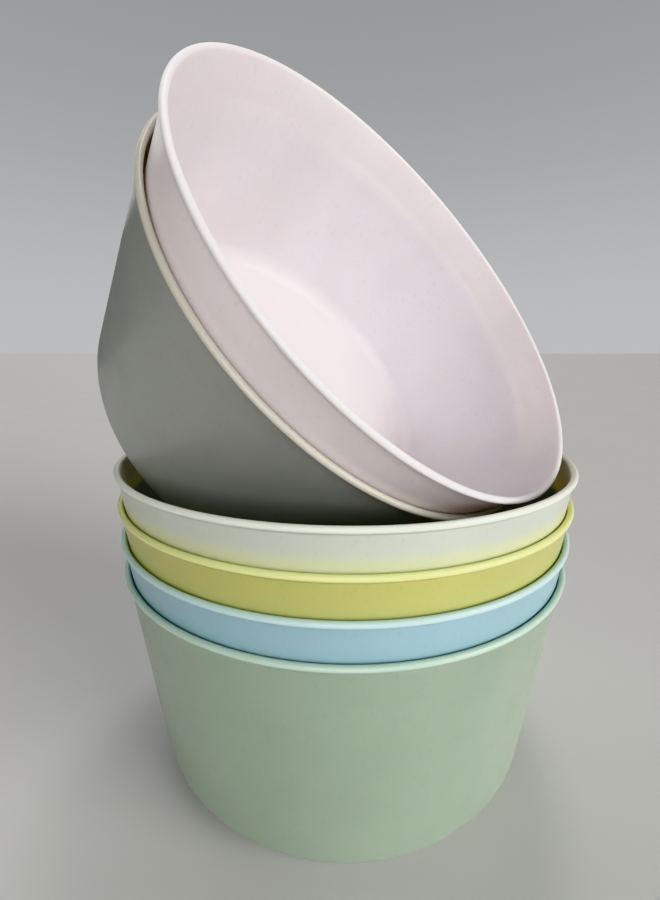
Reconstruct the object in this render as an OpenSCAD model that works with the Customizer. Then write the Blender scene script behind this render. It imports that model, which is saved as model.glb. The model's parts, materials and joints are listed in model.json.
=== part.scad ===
// A set of six identical plastic mixing bowls. Four are nested upright and two, nested in
// each other, lean in the top one. The origin is the centre of the lowest bowl's base.

/* [Bowl] */
// Outer diameter across the lip
rim_d = 125; // [124:0.5:126]
// Height from the table to the top of the lip
bowl_h = 60; // [59:0.5:60]
// Diameter at which the straight line of the wall meets the table
base_d = 110.5; // [109.5:0.5:110.5]
// Thickness of the wall
wall_t = 0.75; // [0.6:0.05:0.75]
// Thickness of the floor
floor_t = 1.6; // [1.2:0.1:2]
// Outer radius of the rounded corner between wall and base
corner_r = 8; // [6:0.5:10]
// Diameter of the rounded bead that makes the lip
lip_t = 1.5; // [1.3:0.1:1.6]

/* [Foot] */
// Outer diameter of the shallow groove under the base
groove_d = 84; // [60:1:88]
// Width of the groove
groove_w = 3; // [2:0.5:6]
// Depth of the groove
groove_depth = 0.5; // [0.3:0.1:0.7]

/* [Upright stack] */
// Height that each nested bowl stands above the one below it
nest_pitch = 8.8; // [8.8:0.1:10]

/* [Leaning pair] */
// Direction in which both bowls lean, counted from +X towards +Y
lean_az = -41.5; // [-43:0.5:-40]
// Tilt of the lower leaning bowl from the vertical
gray_tilt = 55; // [54.5:0.5:55]
// Place of its rim's centre to the right of the stack's axis
gray_x = 10.2; // [9.9:0.1:10.4]
// Place of its rim's centre in front of the stack's axis
gray_y = -7.1; // [-7.4:0.1:-6.9]
// Height of its rim's centre
gray_z = 128.9; // [128.8:0.1:131]
// How much more the upper leaning bowl tilts than the lower one
pink_extra_tilt = 0.6; // [0:0.1:0.7]
// How far it stands out of the lower one, along the lower one's axis
pink_rise = 11.6; // [11.6:0.1:14]

/* [Hidden] */

// Fineness of the arcs in the outline, and of the turned shape
arc_steps = 12;
turn_steps = 128;

lip_r = lip_t / 2;
lip_centre = [rim_d / 2 - lip_r, bowl_h - lip_r];
// Radius of the wall's outer face at the height of the lip's centre
wall_top_r = rim_d / 2 - lip_t + wall_t;
// Angle between the wall and the vertical
taper = atan((wall_top_r - base_d / 2) / lip_centre[1]);
// Distance from the corner of two straight lines to the start of an arc between them
corner_tan = tan((90 + taper) / 2);
// Radius of the inner face's line where it meets the floor
floor_r = (base_d / 2) + floor_t * tan(taper) - wall_t / cos(taper);
inner_corner_r = corner_r - wall_t;
// Direction of the lower edge of the bead, where the wall's outer face runs into it
lip_start = -taper - acos((wall_t - lip_r) / lip_r);

// Points of an arc about a centre, from one angle to another
function arc(centre, r, from, to) =
    [for (i = [0:arc_steps]) let (a = from + (to - from) * i / arc_steps) centre + r * [cos(a), sin(a)]];

// Half section of a bowl, out along the base, up the wall, round the lip and back inside
function bowl_section() = concat(
    [[0, 0], [groove_d / 2 - groove_w, 0], [groove_d / 2 - groove_w + groove_depth, groove_depth],
     [groove_d / 2 - groove_depth, groove_depth], [groove_d / 2, 0]],
    arc([base_d / 2 - corner_r / corner_tan, corner_r], corner_r, -90, -taper),
    arc(lip_centre, lip_r, lip_start, 180 - taper),
    arc([floor_r - inner_corner_r / corner_tan, floor_t + inner_corner_r], inner_corner_r, -taper, -90),
    [[0, floor_t]]
);

// One bowl, standing on its base at the origin
module bowl() {
    rotate_extrude($fn = turn_steps) polygon(bowl_section());
}

// Puts a bowl in the upright stack, so many places above the lowest
module nested(places) {
    translate([0, 0, places * nest_pitch]) bowl();
}

// Puts a bowl in the leaning pair, so far out along the pair's axis, and then tilts it on
// about its own middle
module leaning(extra_tilt, rise) {
    translate([gray_x, gray_y, gray_z]) rotate([0, gray_tilt, lean_az])
        translate([0, 0, rise - bowl_h / 2]) rotate([0, extra_tilt, 0])
            translate([0, 0, -bowl_h / 2]) bowl();
}

// Lowest bowl, which the whole set stands on
module green_bowl() {
    color([0.62, 0.69, 0.62]) nested(0);
}

module blue_bowl() {
    color([0.62, 0.72, 0.80]) nested(1);
}

module yellow_bowl() {
    color([0.80, 0.80, 0.45]) nested(2);
}

// Top bowl of the upright stack, in which the leaning pair rests
module white_bowl() {
    color([0.86, 0.87, 0.83]) nested(3);
}

module gray_bowl() {
    color([0.47, 0.47, 0.45]) leaning(0, 0);
}

// Upper leaning bowl, with its mouth open to the front
module pink_bowl() {
    color([0.87, 0.82, 0.83]) leaning(pink_extra_tilt, pink_rise);
}

green_bowl();
blue_bowl();
yellow_bowl();
white_bowl();
gray_bowl();
pink_bowl();
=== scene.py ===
"""Six nested plastic mixing bowls: four upright in a stack and two leaning in the top one."""

import json
import math

import bpy
from mathutils import Matrix, Vector


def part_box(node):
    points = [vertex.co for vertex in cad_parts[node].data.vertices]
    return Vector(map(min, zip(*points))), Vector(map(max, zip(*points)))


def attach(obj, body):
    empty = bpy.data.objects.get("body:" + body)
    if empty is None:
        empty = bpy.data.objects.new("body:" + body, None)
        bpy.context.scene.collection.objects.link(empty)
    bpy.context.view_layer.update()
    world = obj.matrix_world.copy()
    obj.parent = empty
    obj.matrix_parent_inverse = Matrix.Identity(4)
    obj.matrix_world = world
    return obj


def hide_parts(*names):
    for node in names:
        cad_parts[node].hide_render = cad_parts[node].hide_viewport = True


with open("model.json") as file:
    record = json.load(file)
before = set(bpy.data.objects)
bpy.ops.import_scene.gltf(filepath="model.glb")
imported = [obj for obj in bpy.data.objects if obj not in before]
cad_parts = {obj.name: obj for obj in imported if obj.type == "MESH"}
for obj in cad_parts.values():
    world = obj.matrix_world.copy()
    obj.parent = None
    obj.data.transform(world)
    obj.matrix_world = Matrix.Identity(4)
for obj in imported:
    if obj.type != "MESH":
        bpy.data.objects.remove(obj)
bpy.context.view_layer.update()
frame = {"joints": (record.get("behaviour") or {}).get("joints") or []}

MM = 0.001

# ---- One bowl's sizes: the outer ones from the frame, the rest the same as the CAD's ----
lowest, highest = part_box("green_bowl")
RIM_R = (highest[0] - lowest[0]) / 2
BOWL_H = highest[2] - lowest[2]
NEST_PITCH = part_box("blue_bowl")[0][2] - lowest[2]
BASE_R = 55.25 * MM
WALL_T = 0.75 * MM
FLOOR_T = 1.6 * MM
CORNER_R = 8 * MM
LIP_R = 0.75 * MM
GROOVE_R = 42 * MM
GROOVE_W = 3 * MM
GROOVE_DEPTH = 0.5 * MM

# ---- Details that only the visual bowl has ----
# Fillet between the lip and the wall under it
LIP_FILLET = 0.5 * MM
# Shallow dish that the gate left under the middle of the base
GATE_R = 4 * MM
GATE_DEPTH = 0.3 * MM
# Faint step on the inside floor, from the insert that moulded it
INSERT_R = 31 * MM
INSERT_W = 3 * MM
INSERT_STEP = 0.12 * MM

# ---- How finely a bowl is made: steps round it, along an arc and along a soft step ----
TURN_STEPS = 176
ARC_STEPS = 14
FILLET_STEPS = 6
SOFT_STEPS = 6
GROOVE_STEPS = 10
WALL_STEPS = 10
FLOOR_STEPS = 4

# How much more the pink bowl leans than the gray one
EXTRA_LEAN = math.radians(0.6)

# Attribute that keeps where a point is in its own bowl
OWN_PLACE = "place_in_bowl"


# ---- Shape ----
def arc(centre, radius, start, end, steps=ARC_STEPS):
    """Points of an arc in the half plane (distance from the axis, height), angles in radians."""
    turns = [start + (end - start) * i / steps for i in range(steps + 1)]
    return [(centre[0] + radius * math.cos(t), centre[1] + radius * math.sin(t)) for t in turns]


def straight(start, end, steps):
    """Points between two others, leaving both out."""
    shares = [i / steps for i in range(1, steps)]
    return [(start[0] + (end[0] - start[0]) * s, start[1] + (end[1] - start[1]) * s) for s in shares]


def soft_step(share):
    """A smooth rise from 0 to 1, for a share from 0 to 1."""
    return (1 - math.cos(math.pi * share)) / 2


def bowl_section():
    """Half section of a bowl: out along the base, up the wall, round the lip and down inside."""
    lip = (RIM_R - LIP_R, BOWL_H - LIP_R)
    wall_top_r = RIM_R - 2 * LIP_R + WALL_T
    taper = math.atan((wall_top_r - BASE_R) / lip[1])
    corner_tan = math.tan((math.pi / 2 + taper) / 2)
    floor_r = BASE_R + FLOOR_T * math.tan(taper) - WALL_T / math.cos(taper)
    inner_r = CORNER_R - WALL_T

    gate = [
        (GATE_R * i / SOFT_STEPS, GATE_DEPTH * soft_step(1 - i / SOFT_STEPS))
        for i in range(SOFT_STEPS + 1)
    ]
    groove = [
        (GROOVE_R - GROOVE_W + GROOVE_W * i / GROOVE_STEPS, GROOVE_DEPTH * soft_step(2 * i / GROOVE_STEPS))
        for i in range(GROOVE_STEPS + 1)
    ]
    corner = arc((BASE_R - CORNER_R / corner_tan, CORNER_R), CORNER_R, -math.pi / 2, -taper)

    # The fillet's centre is a fillet's radius off the wall, and touches the bead from below
    off_wall = LIP_FILLET - (LIP_R - WALL_T)
    reach = math.sqrt((LIP_R + LIP_FILLET) ** 2 - off_wall**2)
    fillet_centre = (
        lip[0] + off_wall * math.cos(taper) - reach * math.sin(taper),
        lip[1] - off_wall * math.sin(taper) - reach * math.cos(taper),
    )
    to_lip = math.atan2(lip[1] - fillet_centre[1], lip[0] - fillet_centre[0])
    fillet = arc(fillet_centre, LIP_FILLET, math.pi - taper, to_lip, FILLET_STEPS)
    bead = arc(lip, LIP_R, to_lip - math.pi, math.pi - taper)

    inner_centre = (floor_r - inner_r / corner_tan, FLOOR_T + inner_r)
    inner_corner = arc(inner_centre, inner_r, -taper, -math.pi / 2)
    insert = [
        (INSERT_R + INSERT_W * (0.5 - i / SOFT_STEPS), FLOOR_T + INSERT_STEP * soft_step(i / SOFT_STEPS))
        for i in range(SOFT_STEPS + 1)
    ]
    return (
        gate + groove + corner + straight(corner[-1], fillet[0], WALL_STEPS) + fillet + bead[1:]
        + straight(bead[-1], inner_corner[0], WALL_STEPS) + inner_corner
        + straight(inner_corner[-1], insert[0], FLOOR_STEPS) + insert + [(0, FLOOR_T + INSERT_STEP)]
    )


def turned_mesh(name, section):
    """A closed mesh turned from a half section whose two ends lie on the axis.
    Each vertex keeps where it is in its own bowl, for the material, because the mesh is placed later."""
    rings = section[1:-1]
    vertices = [(0, 0, section[0][1])]
    for r, z in rings:
        for i in range(TURN_STEPS):
            turn = 2 * math.pi * i / TURN_STEPS
            vertices.append((r * math.cos(turn), r * math.sin(turn), z))
    vertices.append((0, 0, section[-1][1]))

    faces = []
    for i in range(TURN_STEPS):
        after = (i + 1) % TURN_STEPS
        faces.append((0, 1 + after, 1 + i))
        for k in range(len(rings) - 1):
            low = 1 + k * TURN_STEPS
            high = low + TURN_STEPS
            faces.append((low + i, low + after, high + after, high + i))
        last = 1 + (len(rings) - 1) * TURN_STEPS
        faces.append((last + i, last + after, len(vertices) - 1))

    mesh = bpy.data.meshes.new(name)
    mesh.from_pydata(vertices, [], faces)
    mesh.polygons.foreach_set("use_smooth", [True] * len(faces))
    own_place = mesh.attributes.new(OWN_PLACE, "FLOAT_VECTOR", "POINT")
    own_place.data.foreach_set("vector", [value for vertex in vertices for value in vertex])
    return mesh


# ---- Places, from the frame ----
def upright(node):
    """A bowl standing in the stack, at its CAD node's height."""
    return Matrix.Translation((0, 0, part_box(node)[0][2]))


def leaning(node, extra):
    """A leaning bowl: the pair's axis from its joint, and the place from the box round its lip."""
    axis = Vector(next(j for j in frame["joints"] if j["child"] == "pink_bowl")["axis"])
    lean = math.acos(axis.z) + extra
    turn = math.atan2(axis.y, axis.x)
    rotation = Matrix.Rotation(turn, 4, "Z") @ Matrix.Rotation(lean, 4, "Y")
    axis = rotation @ Vector((0, 0, 1))
    low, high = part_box(node)
    spread = [(RIM_R - LIP_R) * math.sqrt(1 - a * a) + LIP_R for a in axis]
    lip_centre = Vector((high[0] - spread[0], low[1] + spread[1], high[2] - spread[2]))
    return Matrix.Translation(lip_centre - axis * (BOWL_H - LIP_R)) @ rotation


# ---- Shader nodes ----
# Sockets of a Mix node whose names aren't unique
NUMBER_A, NUMBER_B, NUMBER_RESULT = 2, 3, 0
COLOUR_A, COLOUR_B, COLOUR_RESULT = 6, 7, 2


def link(tree, source, target):
    tree.links.new(source, target)


def add(tree, kind, **values):
    """A node with the properties and input values given."""
    node = tree.nodes.new(kind)
    for key, value in values.items():
        if hasattr(node, key):
            setattr(node, key, value)
        else:
            node.inputs[key.replace("_", " ")].default_value = value
    return node


def new_material(name):
    """A material with its node tree and its shader."""
    material = bpy.data.materials.new(name)
    material.use_nodes = True
    return material, material.node_tree, material.node_tree.nodes["Principled BSDF"]


def noise(tree, coordinates, scale, detail=2.0, stretch=(1, 1, 1)):
    """A noise's factor, in the bowl's own coordinates."""
    mapping = add(tree, "ShaderNodeMapping", Scale=stretch)
    link(tree, coordinates, mapping.inputs["Vector"])
    texture = add(tree, "ShaderNodeTexNoise", Scale=scale, Detail=detail)
    link(tree, mapping.outputs[0], texture.inputs["Vector"])
    return texture.outputs["Fac"]


def remap(tree, value, low, high, to_low, to_high):
    """A value's range, clamped and mapped smoothly to another."""
    node = add(tree, "ShaderNodeMapRange", interpolation_type="SMOOTHSTEP")
    for socket, number in zip(node.inputs[1:5], (low, high, to_low, to_high)):
        socket.default_value = number
    link(tree, value, node.inputs[0])
    return node.outputs[0]


def blend(tree, factor, first, second):
    """Two colours mixed. Each is a socket or a plain colour."""
    node = add(tree, "ShaderNodeMix", data_type="RGBA")
    link(tree, factor, node.inputs["Factor"])
    for socket, colour in ((node.inputs[COLOUR_A], first), (node.inputs[COLOUR_B], second)):
        if isinstance(colour, tuple):
            socket.default_value = (*colour, 1)
        else:
            link(tree, colour, socket)
    return node.outputs[COLOUR_RESULT]


def combine(tree, operation, first, second):
    """Two numbers from sockets, added or multiplied."""
    node = add(tree, "ShaderNodeMath", operation=operation)
    link(tree, first, node.inputs[0])
    link(tree, second, node.inputs[1])
    return node.outputs[0]


# ---- Plastic: noise scales are per metre, strengths are from 0 to 1 ----
MOTTLE_SCALE = 28
MOTTLE_DARK = 0.96
MOTTLE_LIGHT = 1.04
FLECK_SCALE = 900
FLECK_STRETCH = (1, 1, 0.6)
FLECK_DARK = 0.80
FLECK_STRENGTH = 0.22
# Painted light from the lip of the bowl below: its strength, and how far its band reaches above and under
# that lip
PAINTED_GLOW_STRENGTH = 0.6
PAINTED_GLOW_ABOVE = 4.5 * MM
PAINTED_GLOW_BELOW = 1.5 * MM
SCUFF_SCALE = 160
SCUFF_STRETCH = (1, 1, 3)
SCUFF_STRENGTH = 0.35
SCUFF_BOTTOM = 0.2 * MM
SCUFF_TOP = 4 * MM
GLOSS_SCALE = 75
ROUGHNESS_LEAST = 0.36
ROUGHNESS_MOST = 0.46
GRAIN_SCALE = 900
GRAIN_DEPTH = 0.12 * MM


def shade(colour, share):
    """A colour made darker or lighter."""
    return tuple(channel * share for channel in colour)


def mottled(tree, own, body):
    """The body colour with soft mottling and fine darker flecks."""
    mottle = remap(tree, noise(tree, own, MOTTLE_SCALE), 0.3, 0.7, 0, 1)
    colour = blend(tree, mottle, shade(body, MOTTLE_DARK), shade(body, MOTTLE_LIGHT))
    specks = remap(tree, noise(tree, own, FLECK_SCALE, 1.0, FLECK_STRETCH), 0.62, 0.74, 0, FLECK_STRENGTH)
    return blend(tree, specks, colour, shade(body, FLECK_DARK))


def painted_glow_mask(tree, height):
    """Painted light from the lip of the bowl below, as a band on the wall that fades out on both sides."""
    next_lip = BOWL_H - NEST_PITCH
    above_it = remap(tree, height, next_lip, next_lip + PAINTED_GLOW_ABOVE, PAINTED_GLOW_STRENGTH, 0)
    below_it = remap(tree, height, next_lip - PAINTED_GLOW_BELOW, next_lip, 0, 1)
    return combine(tree, "MULTIPLY", above_it, below_it)


def scuff_mask(tree, own, height):
    """Scuffs round the base's corner, where a bowl stands and slides."""
    low_down = remap(tree, height, SCUFF_BOTTOM, SCUFF_TOP, 1, 0)
    marks = remap(tree, noise(tree, own, SCUFF_SCALE, 4.0, SCUFF_STRETCH), 0.52, 0.66, 0, SCUFF_STRENGTH)
    return combine(tree, "MULTIPLY", marks, low_down)


def bowl_plastic(name, body, lip, below):
    """Satin moulded plastic with fine flecks and scuffs where bowls rub, a painted highlight on the lip and
    painted light from the lip of the bowl below.
    """
    material, tree, shader = new_material(name)
    own = add(tree, "ShaderNodeAttribute", attribute_name=OWN_PLACE).outputs["Vector"]
    split = add(tree, "ShaderNodeSeparateXYZ")
    link(tree, own, split.inputs[0])
    height = split.outputs["Z"]

    # Painted light from the lip of the bowl below, mixed into the wall's colour
    colour = blend(tree, painted_glow_mask(tree, height), mottled(tree, own, body), below)
    # Painted highlight: the lip is made paler than the body, for light catching the rim
    painted_lip_highlight = remap(tree, height, BOWL_H - 1.9 * LIP_R, BOWL_H - LIP_R, 0, 1)
    colour = blend(tree, painted_lip_highlight, colour, lip)
    scuffs = scuff_mask(tree, own, height)
    colour = blend(tree, scuffs, colour, shade(body, MOTTLE_LIGHT))
    link(tree, colour, shader.inputs["Base Color"])

    gloss = remap(tree, noise(tree, own, GLOSS_SCALE, 3.0), 0.35, 0.65, ROUGHNESS_LEAST, ROUGHNESS_MOST)
    link(tree, combine(tree, "ADD", gloss, scuffs), shader.inputs["Roughness"])

    grain = add(tree, "ShaderNodeBump", Strength=0.14, Distance=GRAIN_DEPTH)
    link(tree, noise(tree, own, GRAIN_SCALE), grain.inputs["Height"])
    link(tree, grain.outputs[0], shader.inputs["Normal"])

    shader.inputs["IOR"].default_value = 1.47
    shader.inputs["Coat Weight"].default_value = 0.3
    shader.inputs["Coat Roughness"].default_value = 0.2
    shader.inputs["Subsurface Weight"].default_value = 0.5
    shader.inputs["Subsurface Radius"].default_value = (1.0, 0.8, 0.6)
    shader.inputs["Subsurface Scale"].default_value = 2.5 * MM
    return material


# ---- Bowls ----
# Body colour of each bowl, its lip colour, made paler than the body as a painted highlight, and the painted
# light its wall takes from the lip of the bowl below
COLOURS = {
    "green": ((0.29, 0.36, 0.275), (0.45, 0.58, 0.49), (0.29, 0.36, 0.275)),
    "blue": ((0.295, 0.445, 0.505), (0.48, 0.64, 0.62), (0.28, 0.44, 0.48)),
    "yellow": ((0.47, 0.455, 0.15), (0.68, 0.70, 0.32), (0.45, 0.47, 0.18)),
    "white": ((0.51, 0.535, 0.475), (0.70, 0.72, 0.64), (0.62, 0.65, 0.30)),
    "gray": ((0.32, 0.33, 0.30), (0.56, 0.53, 0.46), (0.32, 0.33, 0.30)),
    "pink": ((0.76, 0.70, 0.715), (0.76, 0.71, 0.72), (0.74, 0.68, 0.69)),
}
# The leaning bowls, and how much more than the gray one each leans
LEAN = {"gray": 0.0, "pink": EXTRA_LEAN}

for colour_name, (body, lip, below) in COLOURS.items():
    node = f"{colour_name}_bowl"
    mesh = turned_mesh(f"{colour_name}_bowl_turned", bowl_section())
    mesh.materials.append(bowl_plastic(f"{colour_name}_satin_plastic", body, lip, below))
    mesh.transform(leaning(node, LEAN[colour_name]) if colour_name in LEAN else upright(node))
    bowl = bpy.data.objects.new(f"{colour_name}_bowl_shell", mesh)
    bpy.context.scene.collection.objects.link(bowl)
    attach(bowl, node)
    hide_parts(node)


# ---- Studio ----
STUDIO_HALF_SIZE = 60.0
STUDIO_GAP = 0.05 * MM
STUDIO_DARK = (0.64, 0.63, 0.61)
STUDIO_LIGHT = (0.68, 0.67, 0.65)
# Strength of the surroundings at the horizon and overhead, as light and as the camera sees it
WORLD_LIGHT = (0.15, 0.035)
WORLD_SEEN = (0.52, 0.34)
# The height where a direction counts as overhead, from 0 at the horizon to 1 straight up
OVERHEAD = 0.6


def floor_paint():
    """Pale matt studio paint with a faint tone variation."""
    material, tree, shader = new_material("floor_paint")
    own = add(tree, "ShaderNodeTexCoord").outputs["Object"]
    link(tree, blend(tree, noise(tree, own, 9, 3.0), STUDIO_DARK, STUDIO_LIGHT), shader.inputs["Base Color"])
    shader.inputs["Roughness"].default_value = 0.7
    return material


def studio_floor():
    """A large pale floor under the bowls."""
    half = STUDIO_HALF_SIZE
    corners = [(-half, -half, 0), (half, -half, 0), (half, half, 0), (-half, half, 0)]
    mesh = bpy.data.meshes.new("studio_floor")
    mesh.from_pydata(corners, [], [(0, 1, 2, 3)])
    mesh.materials.append(floor_paint())
    floor = bpy.data.objects.new("studio_floor", mesh)
    floor.location = (0, 0, lowest[2] - STUDIO_GAP)
    bpy.context.scene.collection.objects.link(floor)


def studio_world():
    """Dim even light from all round, with a paler gray behind the bowls for the camera only."""
    world = bpy.data.worlds.new("studio_world")
    world.use_nodes = True
    tree = world.node_tree
    direction = add(tree, "ShaderNodeSeparateXYZ")
    link(tree, add(tree, "ShaderNodeTexCoord").outputs["Generated"], direction.inputs[0])
    up = direction.outputs["Z"]
    strength = add(tree, "ShaderNodeMix")
    link(tree, add(tree, "ShaderNodeLightPath").outputs["Is Camera Ray"], strength.inputs["Factor"])
    link(tree, remap(tree, up, 0, OVERHEAD, *WORLD_LIGHT), strength.inputs[NUMBER_A])
    link(tree, remap(tree, up, 0, OVERHEAD, *WORLD_SEEN), strength.inputs[NUMBER_B])
    background = tree.nodes["Background"]
    background.inputs["Color"].default_value = (0.97, 0.98, 1.0, 1)
    link(tree, strength.outputs[NUMBER_RESULT], background.inputs["Strength"])
    bpy.context.scene.world = world


def distant_light(name, from_right, above, softness, strength, colour):
    """Soft light from far away. Angles are in degrees, from straight in front and from level."""
    light = bpy.data.lights.new(name, "SUN")
    light.angle = math.radians(softness)
    light.energy = strength
    light.color = colour
    side, up = math.radians(from_right), math.radians(above)
    ray = Vector((-math.sin(side) * math.cos(up), math.cos(side) * math.cos(up), -math.sin(up)))
    lamp = bpy.data.objects.new(name, light)
    lamp.rotation_euler = ray.to_track_quat("-Z", "Y").to_euler()
    bpy.context.scene.collection.objects.link(lamp)


distant_light("key_right", 60, 14, 38, 2.75, (1.0, 0.99, 0.97))
distant_light("key_front", 0, 18, 38, 1.75, (0.98, 0.99, 1.0))
distant_light("ceiling", 165, 73, 9, 0.3, (1.0, 1.0, 1.0))
distant_light("back", 195, 42, 60, 0.8, (1.0, 1.0, 1.0))
studio_floor()
studio_world()

# A soft shoulder, so that the pink bowl's floor keeps its shading
view = bpy.context.scene.view_settings
view.view_transform = "Khronos PBR Neutral"
view.exposure = 0.1

# ---- Camera: in front, a little above the stack's top and near, with a wide lens ----
CAMERA_PLACE = (-3.8 * MM, -127.5 * MM, 114.0 * MM)
CAMERA_DOWN = math.radians(12.75)
CAMERA_LENS = 17.2
camera_data = bpy.data.cameras.new("camera")
camera_data.lens = CAMERA_LENS
camera_data.clip_start = 1 * MM
camera = bpy.data.objects.new("camera", camera_data)
camera.location = CAMERA_PLACE
camera.rotation_euler = (math.pi / 2 - CAMERA_DOWN, 0, 0)
bpy.context.scene.collection.objects.link(camera)
bpy.context.scene.camera = camera

# ---- The scene's placements brought up to date ----
bpy.context.view_layer.update()
